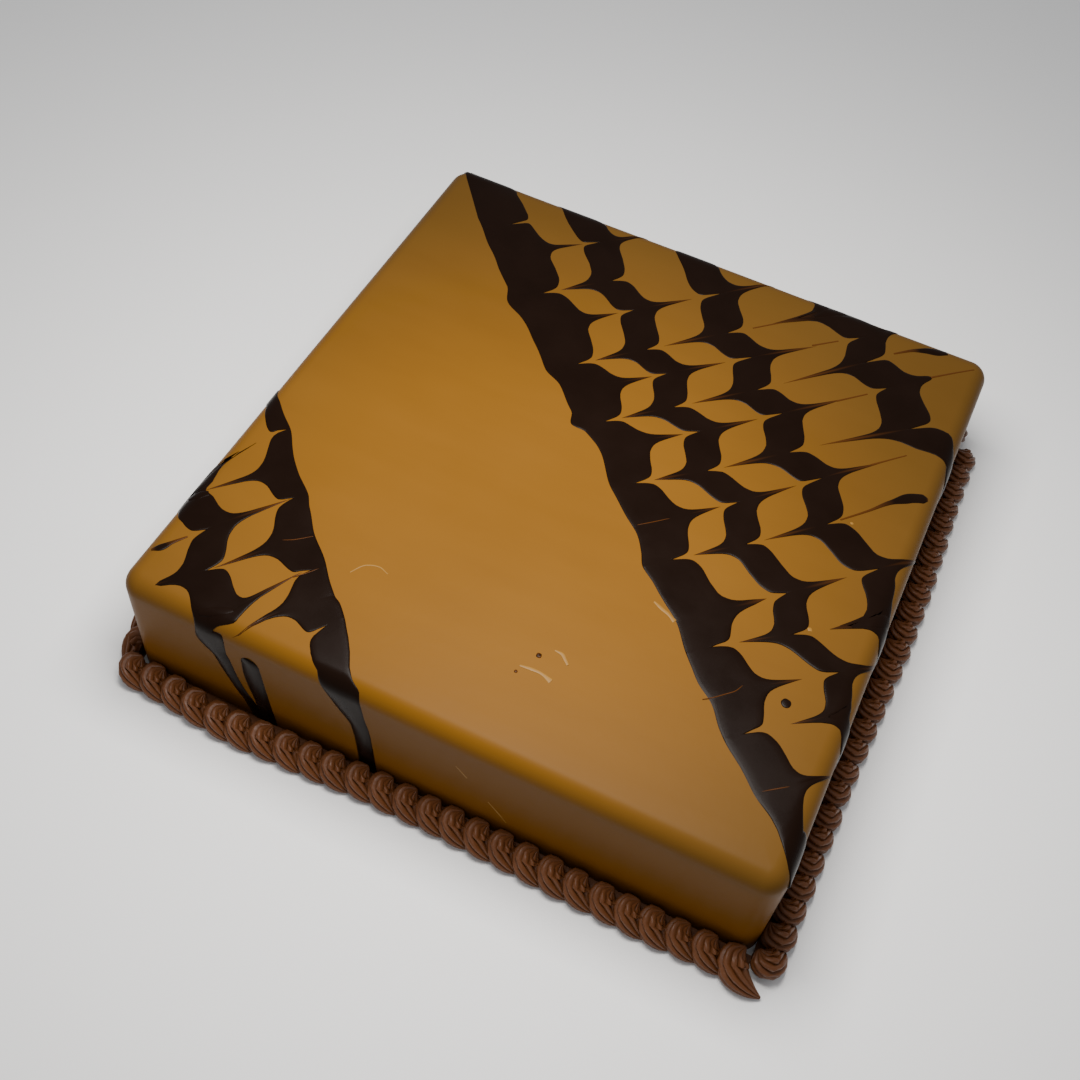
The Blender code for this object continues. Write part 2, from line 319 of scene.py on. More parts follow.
# A drag of the point through the stripes: its way (-1 down, 1 up), its strength, the
# reach across the stripes in which it acts, and its path as (across, along) places.
WIDE_DRAGS = (
    (-1, 0.45, (10, 30), ((20, -135.0), (50, -131.5))),
    (1, 0.65, (5, 70), ((20, -117.0), (55, -113.5))),
    (-1, 1.15, (5, 70), ((10, -91.0), (70, -90.0))),
    (1, 1.0, (5, 100), ((20, -72.0), (90, -71.0))),
    (-1, 1.1, (5, 130), ((10, -49.0), (70, -49.0), (125, -48.0))),
    (1, 1.0, (5, 160), ((20, -35.0), (80, -33.5), (120, -31.5))),
    (-1, 1.1, (5, 160), ((10, -17.3), (80, -16.3), (140, -18.5))),
    (1, 1.1, (5, 160), ((20, -4.3), (50, -2.0), (100, -2.0), (140, -3.0))),
    (-1, 1.2, (5, 160), ((10, 14.6), (45, 17.0), (90, 17.2), (140, 20.3))),
    (1, 1.0, (5, 110), ((20, 34.2), (50, 34.0), (90, 32.0))),
    (-1, 1.1, (5, 115), ((10, 51.4), (45, 53.0), (70, 53.0))),
    (1, 1.3, (5, 115), ((20, 77.0), (90, 77.0))),
    (-1, 1.0, (5, 90), ((13, 90.0), (40, 93.5), (68, 97.0))),
    (1, 1.0, (5, 90), ((20, 109.5), (60, 113.5))),
    (-1, 0.9, (5, 70), ((12, 124.5), (40, 127.5))),
    (1, 0.8, (5, 60), ((15, 146.6), (30, 147.0))),
)
CORNER_DRAGS = (
    (1, 0.7, (-160, -105), ((-137, -37.0), (-111, -46.5))),
    (-1, 0.9, (-160, -105), ((-145, -26.0), (-112, -28.5))),
    (1, 1.1, (-166, -105), ((-163, -5.5), (-148, -8.0), (-135, -10.5), (-113, -13.8))),
    (-1, 1.1, (-170, -105), ((-165, 10.0), (-152, 9.5), (-140, 8.0), (-128, 6.2), (-112, 4.0))),
    (1, 1.0, (-156, -105), ((-143, 28.0), (-133, 24.0), (-118, 19.3))),
    (-1, 1.0, (-150, -105), ((-144, 37.5), (-133, 34.0), (-120, 32.0))),
    (1, 0.8, (-140, -105), ((-133, 50.0), (-117, 44.0), (-110, 42.0))),
)


def to_plan(along, across):
    """Place (x, y) on the cake for a place along and across the stripes."""
    return (along + across) / ROOT_TWO, (across - along) / ROOT_TWO


def to_stripes(x, y):
    """Place along and across the stripes for a place (x, y) on the cake."""
    return (x - y) / ROOT_TWO, (x + y) / ROOT_TWO


def on_path(path, across):
    """Where a drag's path lies along the stripes, at places across them."""
    return np.interp(across, *zip(*path))


def edge_pull(away, length, strength, kind):
    """How far a drag pulls an edge of a stripe, at a distance from its path."""
    half, shoulder, bend, slope = kind
    shoulder = min(strength * shoulder, 0.85 * length)
    inside = shoulder + (length - shoulder) * np.maximum(1 - away / half, 0.0) ** bend
    return np.where(away < half, inside,
                    np.minimum(strength * smooth_curve(slope, away), shoulder))


def drag_stripe(edges, pulls, drags, along, across, share, fade):
    """Pull a stripe's points by every drag: new places and how thin the coat gets."""
    lead_low, tip_low, tip_high, lead_high = pulls
    pulled_along = along.copy()
    pulled_across = across.copy()
    stretch = np.zeros(along.shape)
    for way, strength, (least, most), path in drags:
        line = on_path(path, across)
        away = np.abs(along - line)
        if way < 0:
            sides = ((lead_low, LEAD), (tip_high, TIP))
        else:
            sides = ((tip_low, TIP), (lead_high, LEAD))
        low, high = (
            np.where((edge(line) > least) & (edge(line) < most),
                     edge_pull(away, length, strength, kind), 0.0)
            for edge, (length, kind) in zip(edges, sides))
        pull = way * fade * (low * (1 - share) + high * share)
        pulled_along += (on_path(path, across + pull) - line) * np.exp(-(away / DRAG_WIDTH) ** 2)
        pulled_across += pull
        shoulder = LEAD[1]
        longest = max(lead_low if way < 0 else lead_high, shoulder)
        drawn = np.clip((np.abs(pull) - shoulder) / longest, 0.0, 1.0)
        stretch = np.maximum(stretch, np.clip(2.2 * drawn - 0.35, 0.0, 1.0))
    return pulled_along, pulled_across, stretch


def side_place(side, x, y):
    """Depth past the flat top on one side, and the place along that side."""
    return ((-y - FLAT_Y, x), (x - FLAT_X, y), (y - FLAT_Y, -x), (-x - FLAT_X, -y))[side]


def top_place(side, depth, along):
    """Place on the unrolled top for a depth past one side and a place along it."""
    return ((along, -depth - FLAT_Y), (depth + FLAT_X, along),
            (-along, depth + FLAT_Y), (-depth - FLAT_X, -along))[side]


def side_lean(side):
    """Which way along a side a stripe moves on as it goes over the edge."""
    return 1.0 if side in (FRONT, BACK) else -1.0


def cross_depth(side, across, depth):
    """Place along a stripe at which it reaches a depth past one side."""
    over_y, over_x = ROOT_TWO * (FLAT_Y + depth), ROOT_TWO * (FLAT_X + depth)
    return (across + over_y, over_x - across, across - over_y, -over_x - across)[side]


def height_depth(up):
    """Depth past the flat top, along the surface, at a height on the wall."""
    if up <= SHOULDER:
        return EDGE_ARC + SHOULDER - up
    return EDGE_RADIUS * math.acos((up - SHOULDER) / EDGE_RADIUS)


def drip_run(centre, lean, width, head, foot):
    """Bounds of a drip down a wall as (depth, low side, high side)."""
    run = []
    for share in DRIP_SHARES:
        middle = centre + lean * (1 - (1 - share) ** 2)
        half = (width + head * (1 - share) ** 3) / 2
        depth = height_depth(DRIP_TOP - share * (DRIP_TOP - foot))
        run.append((depth, middle - half, middle + half))
    return tuple(run)


def round_off(low, high, share, least):
    """Two sides of a drip drawn in to a round end, and by how much."""
    rounding = np.sqrt(np.clip(1 - (1 - np.clip(share, 0.0, 1.0)) ** 2, least, 1.0))
    middle, half = (low + high) / 2, (high - low) / 2 * rounding
    return middle - half, middle + half, rounding


def carry_over(end, x, y):
    """Turn a stripe's places past one side into its drip down the wall."""
    if not end["run"]:
        return x, y
    side, low_start, high_start = end["side"], end["low"], end["high"]
    lean = side_lean(side)
    depth, along = side_place(side, x, y)
    start = along - lean * depth
    depths, lows, highs = zip(*end["run"])
    depths = (0.0, 3.0) + depths
    low = smooth_curve(zip(depths, (low_start, low_start + lean * 2.6) + lows), depth)
    high = smooth_curve(zip(depths, (high_start, high_start + lean * 2.6) + highs), depth)
    if end["round"]:
        radius = (highs[-1] - lows[-1]) / 2
        low, high, _ = round_off(low, high, (depths[-1] - depth) / radius, 0.02)
    share = (start - low_start) / (high_start - low_start)
    beside = ease(np.maximum(low_start - start, start - high_start) / SPIKE_BESIDE)
    moved = (low + share * (high - low)) * (1 - beside) + along * beside
    new_x, new_y = top_place(side, depth, moved)
    return np.where(depth > 0, new_x, x), np.where(depth > 0, new_y, y)


def stripe_relief(share, depth, up, thin):
    """Height of a stripe off the glaze: flat on top, a rounded run on the wall."""
    flat = np.interp(share, *zip(*FLAT_SECTION))
    arch = np.sin(np.pi * np.clip(share, 0.0, 1.0)) ** 0.7
    on_wall = ease((depth - TURN_DEPTH) / 14.0)
    shape = flat * (1 - on_wall) + arch * on_wall
    tall = STRIPE_LIFT + (DRIP_RELIEF - STRIPE_LIFT) * on_wall
    low = THIN_RELIEF + (tall - THIN_RELIEF) * ease((up - BORDER_CLEAR) / 4.0)
    tall = np.where(on_wall > 0, low, tall)
    return shape * tall * (1 - 0.6 * thin)


def column_places(first, last, middle, drags):
    """Drags that cross a stripe, and its columns as (segment, share) pairs near them."""
    crossing = sorted(
        (float(on_path(path, middle)), path) for _, _, (least, most), path in drags
        if least < middle + DRAG_MARGIN and most > middle - DRAG_MARGIN)
    crossing = [(line, path) for line, path in crossing if first + 1 < line < last - 1]
    knots = [first] + [line for line, _ in crossing] + [last]
    columns = []
    for segment, length in enumerate(np.diff(knots)):
        near = [away / length for away in NEAR_DRAG if away < length / 2 - KNOT_GAP]
        far = [1 - share for share in near[1:]]
        columns += [(segment, share) for share in sorted(set(near + [0.5] + far))]
    columns.append((len(knots) - 2, 1.0))
    return crossing, columns


def stripe_rows(width):
    """Shares across a stripe, close together at its two edges."""
    near = [edge / width for edge in ROW_EDGES]
    return np.array(near + list(ROW_MIDDLE) + [1 - share for share in reversed(near)])


def closed_sheet(name, top, bottom, thin, material):
    """Closed thin piece from a grid of top points and one of bottom points."""
    rows, columns, _ = top.shape
    count = rows * columns
    points = np.concatenate((top.reshape(-1, 3), bottom.reshape(-1, 3))) * MM
    faces = []
    for row in range(rows - 1):
        for column in range(columns - 1):
            corner = row * columns + column
            quad = (corner, corner + 1, corner + columns + 1, corner + columns)
            faces.append(quad)
            faces.append(tuple(count + index for index in reversed(quad)))
    for column in range(columns - 1):
        near = column
        far = (rows - 1) * columns + column
        faces.append((near + 1, near, count + near, count + near + 1))
        faces.append((far, far + 1, count + far + 1, count + far))
    for row in range(rows - 1):
        near = row * columns
        far = row * columns + columns - 1
        faces.append((near, near + columns, count + near + columns, count + near))
        faces.append((far + columns, far, count + far, count + far + columns))
    mesh = bpy.data.meshes.new(name)
    mesh.from_pydata([tuple(point) for point in points], [], faces)
    layer = mesh.attributes.new("thin", "FLOAT", "POINT")
    layer.data.foreach_set("value", np.concatenate((thin.ravel(), thin.ravel())))
    mesh.update()
    piece = bpy.data.objects.new(name, mesh)
    bpy.context.scene.collection.objects.link(piece)
    mesh.materials.append(material)
    smooth_piece(piece, 50.0)
    return piece


def wavy(knots, number):
    """Edge of a stripe through its knots, with the hand's small waver."""
    def edge(along):
        waver = 0.22 * np.sin(along / 3.1 + number * 1.7) + 0.16 * np.sin(along / 7.3 + number)
        return smooth_curve(knots, along) + waver
    return edge


def stripe_end(side, run, round_foot, edges, middle):
    """Where a stripe's two edges leave the flat top on one side, and the drip there."""
    starts = []
    for edge in edges:
        across = middle
        for _ in range(SEARCH_ROUNDS):
            across = float(edge(np.array(cross_depth(side, across, 0.0))))
        plan = to_plan(cross_depth(side, across, 0.0), across)
        starts.append(side_place(side, *plan)[1])
    return {"side": side, "run": run, "round": round_foot,
            "low": min(starts), "high": max(starts), "turned": starts[0] > starts[1]}


def lay_end(end, rows, along, across, first):
    """A stripe's rows carried on past one side, down to the foot of its drip."""
    side, lean = end["side"], side_lean(end["side"])
    foot = end["run"][-1][0] if end["run"] else height_depth(SHOULDER + 2.0)
    depths = list(np.arange(TURN_DEPTH + 0.8, EDGE_ARC, 0.9))
    depths += list(np.arange(EDGE_ARC + 0.5, foot - 4.0, 2.2))
    depths += [foot - step for step in FOOT_STEPS]
    depths = {round(depth, 3) for depth in depths if depth > TURN_DEPTH + 0.4}
    depths = np.array(sorted(depths, reverse=first))
    fade = np.exp(-(depths - TURN_DEPTH) / SETTLE)
    laid = []
    for row, share in enumerate(rows):
        portion = 1 - share if end["turned"] else share
        at_edge = end["low"] + portion * (end["high"] - end["low"])
        turn_depth, turn_side = side_place(side, *to_plan(along[row], across[row]))
        slip = turn_side - (at_edge + lean * turn_depth)
        laid.append(to_stripes(*top_place(side, depths, at_edge + lean * depths + slip * fade)))
    end_along, end_across = (np.array(part) for part in zip(*laid))
    return end_along, end_across, np.tile(fade, (len(rows), 1))


def make_stripe(name, number, low_knots, high_knots, pulls, drags, start, finish, material):
    """One dragged stripe of chocolate from one edge of the cake to another.

    The pulls are how far drags draw it out of its low edge, into its low edge, into
    its high edge and out of its high edge. Start and finish name the side, the drip
    that the stripe ends in, and whether that drip has a round foot.
    """
    edges = low_at, high_at = wavy(low_knots, number), wavy(high_knots, number + 0.5)
    middle = float(np.mean([knot[1] for knot in low_knots + high_knots]))
    ends = [stripe_end(*end, edges, middle) for end in (start, finish)]

    def across_at(along, share):
        return low_at(along) * (1 - share) + high_at(along) * share

    def turn_at(end, across):
        return cross_depth(end["side"], across, TURN_DEPTH)

    centre = np.linspace(-20, 20, 9)
    rows = stripe_rows(float(np.mean(high_at(centre) - low_at(centre))))
    bounds = [turn_at(end, middle) for end in ends]
    crossing, columns = column_places(*bounds, middle, drags)
    along = np.zeros((len(rows), len(columns)))
    across = np.zeros(along.shape)
    for row, share in enumerate(rows):
        first, last = bounds
        for _ in range(SEARCH_ROUNDS):
            first = float(turn_at(ends[0], across_at(first, share)))
            last = float(turn_at(ends[1], across_at(last, share)))
        knots = [first]
        for line, path in crossing:
            here = float(on_path(path, across_at(line, share)))
            knots.append(min(max(here, knots[-1] + KNOT_GAP), last - KNOT_GAP))
        knots.append(last)
        along[row] = [knots[segment] + part * (knots[segment + 1] - knots[segment])
                      for segment, part in columns]
        across[row] = across_at(along[row], share)
    parts = (lay_end(ends[0], rows, along[:, 0], across[:, 0], True),
             (along, across, np.ones(along.shape)),
             lay_end(ends[1], rows, along[:, -1], across[:, -1], False))
    along, across, fade = (np.concatenate(part, axis=1) for part in zip(*parts))
    share = np.tile(rows[:, None], (1, along.shape[1]))
    along, across, thin = drag_stripe(edges, pulls, drags, along, across, share, fade)
    x, y = to_plan(along, across)
    for end in ends:
        x, y = carry_over(end, x, y)
    up = over_glaze(x, y, 0.0)[..., 2]
    depth = np.maximum(np.maximum(np.abs(x) - FLAT_X, np.abs(y) - FLAT_Y), 0.0)
    corner = np.minimum(np.abs(x) - INNER_X, np.abs(y) - INNER_Y)
    lift = stripe_relief(share, depth, up, thin) + CORNER_LIFT * ease(corner / 2.5)
    return closed_sheet(name, over_glaze(x, y, lift), over_glaze(x, y, STRIPE_ROOT), thin,
                        material)


def make_run(name, side, run, material):
    """Separate drip on a wall, with a round top, down to its foot."""
    depths, lows, highs = zip(*run)
    radius = (highs[0] - lows[0]) / 2
    first, last = depths[0], depths[-1]
    places = list(first + radius * np.array(RUN_HEAD))
    places += list(np.arange(first + radius + 1.8, last - 1.0, 2.2)) + [last - 0.5, last]
    places = np.array(places)
    low, high, rounding = round_off(
        smooth_curve(zip(depths, lows), places), smooth_curve(zip(depths, highs), places),
        (places - first) / radius, 0.01)
    rows = np.array(RUN_ROWS)[:, None]
    x, y = top_place(side, np.tile(places, (len(rows), 1)), low + rows * (high - low))
    depth = np.tile(places, (len(rows), 1))
    share = np.tile(rows, (1, len(places)))
    thin = np.zeros(share.shape)
    lift = stripe_relief(share, depth, over_glaze(x, y, 0.0)[..., 2], thin)
    top = over_glaze(x, y, lift * (0.45 + 0.55 * rounding))
    bottom = over_glaze(x, y, STRIPE_ROOT)
    if side in (FRONT, RIGHT):
        top, bottom = top[:, ::-1], bottom[:, ::-1]
    return closed_sheet(name, top, bottom, thin, material)


def make_stroke(name, points, widths, lift, thinness, material):
    """Thin drawn-out mark through (along, across) points."""
    places = np.array(points, float)
    distance = np.concatenate(([0.0], np.cumsum(np.hypot(*np.diff(places, axis=0).T))))
    steps = np.linspace(0.0, distance[-1], max(int(distance[-1] / STROKE_STEP), 12))
    along, across, width = (smooth_curve(zip(distance, part), steps)
                            for part in (places[:, 0], places[:, 1], widths))
    way = np.stack((np.gradient(along, steps), np.gradient(across, steps)))
    way /= np.hypot(*way)
    rows, section = (np.array(part)[:, None] for part in zip(*STROKE_SECTION))
    offset = (rows - 0.5) * width
    x, y = to_plan(along - way[1] * offset, across + way[0] * offset)
    slim = np.clip(width / 1.2, 0.25, 1.0)
    thin = np.tile(np.clip(thinness * (1.6 - width / 1.5), 0.0, 1.0), (len(rows), 1))
    return closed_sheet(name, over_glaze(x, y, lift * section * slim),
                        over_glaze(x, y, STRIPE_ROOT), thin, material)


def make_stripes(chocolate):
    """Every feathered stripe with the drips that it ends in, then the drips of their own."""
    stripes = (
        ("stripe_wide",
         ((-174, 3.6), (-155, 1.2), (-135, -0.8), (-100, -1.5), (-90, -4.2), (-80, -2.0),
          (-70, -0.8), (-50, -1.6), (-40, 0.6), (-26, 0.8), (-20, -1.8), (-14, 2.6), (-6, 4.2),
          (5, 3.0), (15, 1.8), (35, 3.2), (45, 1.8), (52, -0.2), (60, 0.8), (75, 2.4),
          (100, -0.2), (110, 1.4), (120, 0.0), (145, 1.2), (160, 3.2), (172, 1.8)),
         ((-170, 22.0), (-60, 21.8), (60, 21.3), (100, 19.8), (117, 18.0), (140, 16.8),
          (163, 12.2), (172, 9.0)),
         (0.0, 0.0, 10.0, 17.0), WIDE_DRAGS, (BACK, (), False), (RIGHT, (), False)),
        ("stripe_second",
         ((-140, 37.5), (-60, 36.2), (-10, 35.7), (45, 36.4), (90, 36.8), (110, 39.8),
          (135, 41.0)),
         ((-140, 53.0), (-100, 52.0), (-60, 51.0), (-10, 50.0), (45, 49.9), (90, 49.4),
          (115, 50.8), (135, 48.6)),
         (17.0, 9.0, 9.0, 21.0), WIDE_DRAGS,
         (BACK, drip_run(71.0, 4.0, 5.5, 7.0, 27.0), True),
         (RIGHT, drip_run(-66.0, -4.0, 6.0, 5.0, 24.0), True)),
        ("stripe_third",
         ((-110, 77.5), (-90, 75.5), (-60, 71.8), (-25, 70.5), (10, 69.6), (45, 70.0),
          (68, 69.8), (85, 72.8), (100, 71.6), (110, 71.0)),
         ((-110, 92.2), (-90, 91.2), (-60, 89.2), (-25, 87.2), (10, 86.2), (45, 85.0),
          (65, 84.4), (85, 85.6), (95, 82.4), (110, 79.0)),
         (22.0, 12.0, 10.0, 24.0), WIDE_DRAGS,
         (BACK, drip_run(12.0, 5.0, 6.5, 7.0, DRIP_BASE), False),
         (RIGHT, drip_run(-22.0, -4.0, 6.0, 6.0, 31.0), True)),
        ("stripe_far",
         ((-60, 122.5), (-30, 122.5), (-15, 120.0), (5, 120.5), (18, 120.0), (25, 122.5),
          (30, 126.0), (34, 131.0), (40, 134.0)),
         ((-60, 140.5), (-30, 140.5), (-10, 140.0), (8, 140.5), (20, 141.0), (27, 143.0),
          (31, 142.5), (36, 140.0), (42, 139.0)),
         (32.0, 9.0, 13.0, 11.0), WIDE_DRAGS,
         (BACK, drip_run(-49.0, 5.0, 7.0, 9.0, 20.0), True),
         (RIGHT, drip_run(66.0, -5.0, 6.5, 6.0, DRIP_BASE), False)),
        ("stripe_left",
         ((-66, -112.0), (-50, -114.8), (-38, -117.5), (-20, -120.5), (0, -122.5), (20, -123.5),
          (45, -123.5), (64, -122.0), (74, -121.5)),
         ((-70, -107.0), (-60, -106.8), (-48, -106.0), (-38, -107.3), (-25, -108.5),
          (-14, -106.8), (-8, -108.0), (5, -109.0), (20, -108.8), (32, -109.0), (36, -108.0),
          (42, -107.6), (48, -108.4), (56, -110.0), (62, -111.3), (74, -111.5)),
         (24.0, 9.0, 0.0, 0.0), CORNER_DRAGS,
         (LEFT, drip_run(29.0, -5.0, 6.0, 4.0, DRIP_BASE), False),
         (FRONT, ((6.0, -45.5, -28.2), (11.0, -42.0, -27.0), (21.0, -36.0, -25.5),
                  (28.0, -31.5, -24.0), (38.0, -30.0, -23.0), (51.0, -29.0, -22.0),
                  (58.0, -28.5, -21.5)), False)),
        ("stripe_corner",
         ((-24, -153.5), (-15, -153.5), (0, -154.5), (15, -156.0), (28, -157.0), (36, -157.0)),
         ((-30, -138.0), (-18, -139.0), (0, -139.5), (15, -141.0), (24, -142.5), (30, -143.5),
          (36, -146.0), (42, -148.5)),
         (12.0, 8.0, 9.0, 26.0), CORNER_DRAGS,
         (LEFT, drip_run(79.0, -4.0, 6.5, 7.0, 26.0), True),
         (FRONT, ((6.0, -93.5, -79.5), (9.5, -92.5, -80.5), (16.0, -93.0, -81.0),
                  (20.0, -91.0, -81.0), (23.0, -87.5, -80.0), (31.0, -84.5, -78.5),
                  (41.0, -80.5, -75.5), (49.0, -77.0, -71.5), (58.0, -74.0, -69.0)), False)),
    )
    runs = (
        ("drip_front", FRONT, ((16.0, -75.0, -68.0), (26.0, -75.0, -67.0), (46.0, -72.0, -65.0),
                               (58.0, -70.0, -63.5))),
        ("drip_back_corner", BACK,
         ((6.0, 101.0, 117.5),) + drip_run(112.0, 3.0, 7.5, 7.0, DRIP_BASE)),
        ("drip_right_corner", RIGHT,
         ((6.0, -119.0, -107.0),) + drip_run(-114.0, -2.5, 6.0, 5.0, DRIP_BASE)),
    )
    made = [make_stripe(name, number, *rest, chocolate)
            for number, (name, *rest) in enumerate(stripes, 1)]
    return made + [make_run(*run, chocolate) for run in runs]


def make_strokes(chocolate):
    """Fine marks: teardrops, thin lines of the drags, spots, and blots at stripe ends."""
    marks = (
        ("tear_right", ((52.6, 80.0), (51.8, 92.0), (50.6, 103.0), (50.8, 110.0), (52.4, 115.5),
                        (53.2, 117.6)), (0.7, 1.0, 2.2, 4.6, 4.4, 1.5), 0.9),
        ("tear_corner", ((-7.2, -152.5), (-6.2, -158.0), (-5.2, -162.5), (-5.6, -165.6)),
         (0.7, 1.5, 3.0, 1.2), 0.9),
        ("tear_back", ((-19.3, 141.5), (-18.9, 149.0), (-17.3, 155.0), (-15.2, 160.0),
                       (-13.8, 164.0)), (0.8, 1.4, 3.0, 4.4, 3.0), 0.9),
        ("line_far_corner", ((-3.0, 150.0), (-2.6, 160.0), (-2.0, 170.0)), (0.9, 0.7, 0.6), 1.0),
        ("line_far_left", ((-48.6, 90.0), (-48.4, 105.0), (-48.2, 119.0)), (0.6, 0.7, 0.9), 1.0),
        ("line_far_second", ((-32.8, 110.0), (-32.2, 122.0)), (0.8, 0.6), 1.0),
        ("line_far_third", ((-2.0, 106.0), (-2.0, 120.0)), (0.8, 0.6), 1.0),
        ("line_far_fourth", ((31.8, 104.0), (31.4, 120.0)), (0.8, 0.5), 1.0),
        ("spot", ((116.3, 26.1), (116.7, 26.1), (117.2, 26.0), (118.1, 26.0), (119.0, 25.9),
                  (119.5, 25.9), (119.9, 25.9)), (0.9, 2.3, 3.1, 3.6, 3.1, 2.3, 0.9), 0.0),
        ("pit", ((74.7, -48.7), (75.1, -48.6), (75.7, -48.5), (76.3, -48.4), (76.8, -48.3)),
         (0.5, 1.5, 2.1, 1.6, 0.5), 1.0),
        ("pit_small", ((78.8, -58.3), (79.1, -58.2), (79.5, -58.1), (80.0, -58.0)),
         (0.4, 1.2, 1.3, 0.5), 1.0),
        ("blot_third", ((96.9, 62.0), (96.9, 66.5), (97.3, 70.5), (97.9, 74.5), (98.6, 78.5)),
         (1.2, 3.2, 5.2, 6.0, 5.0), 0.0),
        ("blot_far", ((-47.6, 118.5), (-48.1, 123.0), (-48.3, 128.0), (-48.6, 133.0)),
         (1.4, 4.2, 6.6, 5.6), 0.0),
        ("blot_corner", ((25.2, -155.0), (26.2, -151.0), (27.3, -147.0), (28.2, -143.6)),
         (2.5, 4.0, 4.0, 2.2), 0.0),
        ("blot_corner_left", ((-24.9, -149.0), (-24.6, -145.0), (-24.3, -141.5)),
         (2.5, 4.0, 2.5), 0.0),
    )
    return [make_stroke(name, points, widths, BLOT_LIFT if "blot" in name else STRIPE_LIFT,
                        thinness, chocolate)
            for name, points, widths, thinness in marks]


def on_front(places):
    """Stripe-wise (along, across) places for (x, height) places on the front wall."""
    return tuple(to_stripes(x, -(FLAT_Y + height_depth(up))) for x, up in places)


def make_smears(pale, chocolate):
    """Pale smears and chips in the glaze, and thin brown lines dragged over the chocolate."""
    smears = (
        ("smear_pit_low", ((77.6, -56.0), (80.3, -52.6), (82.6, -50.2), (86.6, -48.0)),
         (0.9, 1.5, 1.3, 2.2)),
        ("smear_pit_high", ((75.4, -42.5), (78.1, -40.5), (82.3, -40.3)), (0.7, 1.5, 1.2)),
        ("smear_streak", ((66.6, -1.8), (70.0, -0.4), (73.5, 1.2), (76.5, 2.0)),
         (0.8, 1.5, 1.3, 1.9)),
        ("smear_ring", ((24.0, -101.4), (22.6, -96.0), (24.6, -91.0), (28.6, -88.8)),
         (0.4, 0.6, 0.6, 0.4)),
        ("smear_front_high", on_front(((9.8, 38.7), (14.2, 33.7))), (0.5, 0.7)),
        ("smear_front_low", on_front(((22.7, 23.3), (26.4, 18.9), (30.2, 13.8))), (0.4, 0.7, 0.5)),
        ("chip_second", ((92.6, 46.7), (93.4, 47.1), (94.3, 47.5)), (0.6, 1.8, 0.6)),
        ("chip_third", ((54.7, 83.2), (55.3, 83.5), (55.9, 83.8)), (0.5, 1.2, 0.5)),
    )
    lines = (
        ("line_wide_near", ((108.3, -1.0), (108.8, 3.8), (108.8, 10.2), (107.2, 15.0))),
        ("line_wide_middle", ((33.4, 5.0), (33.8, 11.0), (34.0, 18.5))),
        ("line_wide_end", ((145.6, 4.0), (146.2, 9.0), (146.8, 14.0))),
        ("line_left_high", ((3.6, -121.5), (4.9, -116.0), (5.2, -110.0))),
        ("line_left_low", ((20.4, -121.0), (20.2, -116.5), (19.4, -111.0))),
    )
    made = [make_stroke(*smear, SMEAR_LIFT, 0.0, pale) for smear in smears]
    for name, points in lines:
        widths = (LINE_END,) + (LINE_WIDTH,) * (len(points) - 2) + (LINE_END,)
        made.append(make_stroke(name, points, widths, LINE_LIFT, 1.0, chocolate))
    return made


# ---------------------------------------------------------------- piped border

def model_shell():
    """One piped shell along +X: a star section from a peaked crown, swollen, then drawn out."""
    deselect_all()
    sides = 4 * SHELL_RIDGES
    bpy.ops.mesh.primitive_circle_add(
        vertices=sides, radius=SHELL_RADIUS * MM, fill_type="NGON",
        rotation=(QUARTER, 0.0, QUARTER))
    shell = bpy.context.object
    shell.name = "shell_pattern"
    settle(shell)
    for vertex in shell.data.vertices:
        angle = math.atan2(vertex.co.z, vertex.co.y)
        step = round((angle - QUARTER) / (2 * math.pi / sides)) % 4
        vertex.co *= (1.0, RIDGE_FLANK, GROOVE, RIDGE_FLANK)[step]
    bpy.ops.object.mode_set(mode="EDIT")
    bpy.ops.mesh.select_all(action="SELECT")
    travel, size = CROWN_TIP
    bpy.ops.transform.resize(value=(1.0, size, size), center_override=(0.0, 0.0, 0.0))
    bpy.ops.transform.translate(value=(travel * MM, 0.0, 0.0))
    for place, share in SHELL_SWELL:
        bpy.ops.mesh.extrude_region_move(
            TRANSFORM_OT_translate={"value": ((place - travel) * MM, 0.0, 0.0)})
        bpy.ops.transform.resize(
            value=(1.0, share / size, share / size), center_override=(0.0, 0.0, 0.0))
        travel, size = place, share
    bpy.ops.mesh.select_all(action="SELECT")
    bpy.ops.mesh.normals_make_consistent(inside=False)
    bpy.ops.object.mode_set(mode="OBJECT")
    return shell


def shell_course(travel, turn, stretch):
    """Middle of a shell at places along it, turned and stretched about its crown."""
    along, out, up = (smooth_curve([(knot[0], knot[part]) for knot in SHELL_COURSE], travel)
                      for part in (1, 2, 3))
    first = SHELL_COURSE[1]
    turn = math.radians(turn - SHELL_TURN)
    along, out = (along - first[1]) * stretch, (out - first[2]) * stretch
    turned_along = first[1] + along * math.cos(turn) - out * math.sin(turn)
    turned_out = first[2] + along * math.sin(turn) + out * math.cos(turn)
    return np.stack((turned_along, -turned_out, up), axis=-1)


def place_shell(pattern, name, along, shift, size, turn, tail):
    """Copy of the shell laid in its row: X along the wall, -Y away from it, Z up."""
    shell = bpy.data.objects.new(name, pattern.data.copy())
    bpy.context.scene.collection.objects.link(shell)
    points = np.array([vertex.co for vertex in shell.data.vertices]) / MM
    middle, before, after = (shell_course(points[:, 0] + step, turn, tail / SHELL_TAIL)
                             for step in (0.0, -0.2, 0.2))
    way = after - before
    way /= np.linalg.norm(way, axis=1)[:, None]
    side = np.cross((0.0, 0.0, 1.0), way)
    side /= np.linalg.norm(side, axis=1)[:, None]
    over = np.cross(way, side)
    middle = middle + (along, -shift, 0.0)
    placed = middle + size * (side * points[:, 1:2] + over * points[:, 2:3])
    placed[:, 1] = np.clip(placed[:, 1], -BORDER_REACH, 0.0)
    placed[:, 2] = np.clip(placed[:, 2], 0.0, BORDER_HEIGHT)
    shell.data.vertices.foreach_set("co", (placed * MM).ravel())
    return shell


